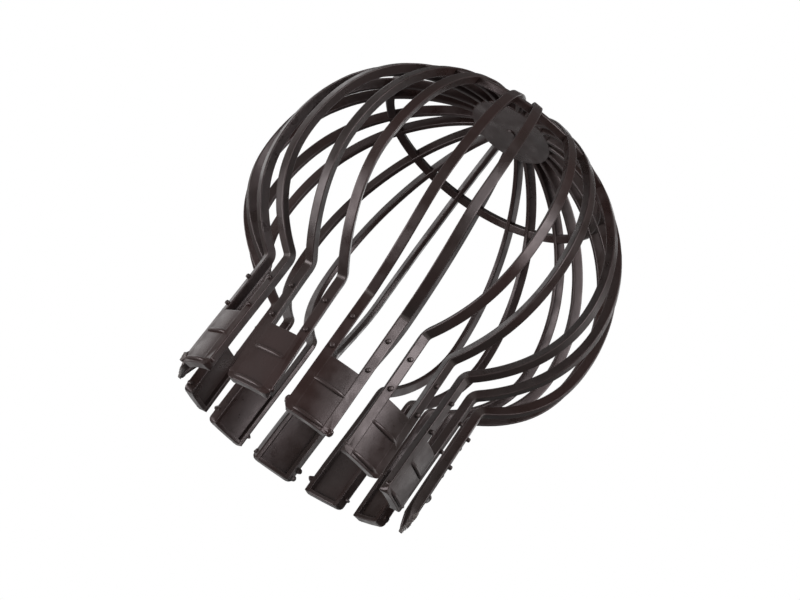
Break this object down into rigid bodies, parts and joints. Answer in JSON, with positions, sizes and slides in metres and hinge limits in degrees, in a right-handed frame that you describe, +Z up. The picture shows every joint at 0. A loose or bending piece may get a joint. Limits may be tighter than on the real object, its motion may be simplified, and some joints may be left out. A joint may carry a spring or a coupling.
{
  "type": "gutter outlet leaf guard",
  "caption": "Round wire-like plastic cage on springy legs that push into a gutter outlet, so that water drains and leaves stay out.",
  "frame": {"origin": "centre of the foot plane that the tips of the legs lie in", "axes": "+Z up the centre line, from the legs to the disc on top; -Y passes through the middle of one leg"},
  "size_m": [0.121, 0.121, 0.1294],
  "materials": {
    "plastic": "dark brown, half gloss, as moulded"
  },
  "bodies": {
    "root": {"leaf_guard": "plastic"}
  },
  "joints": []
}
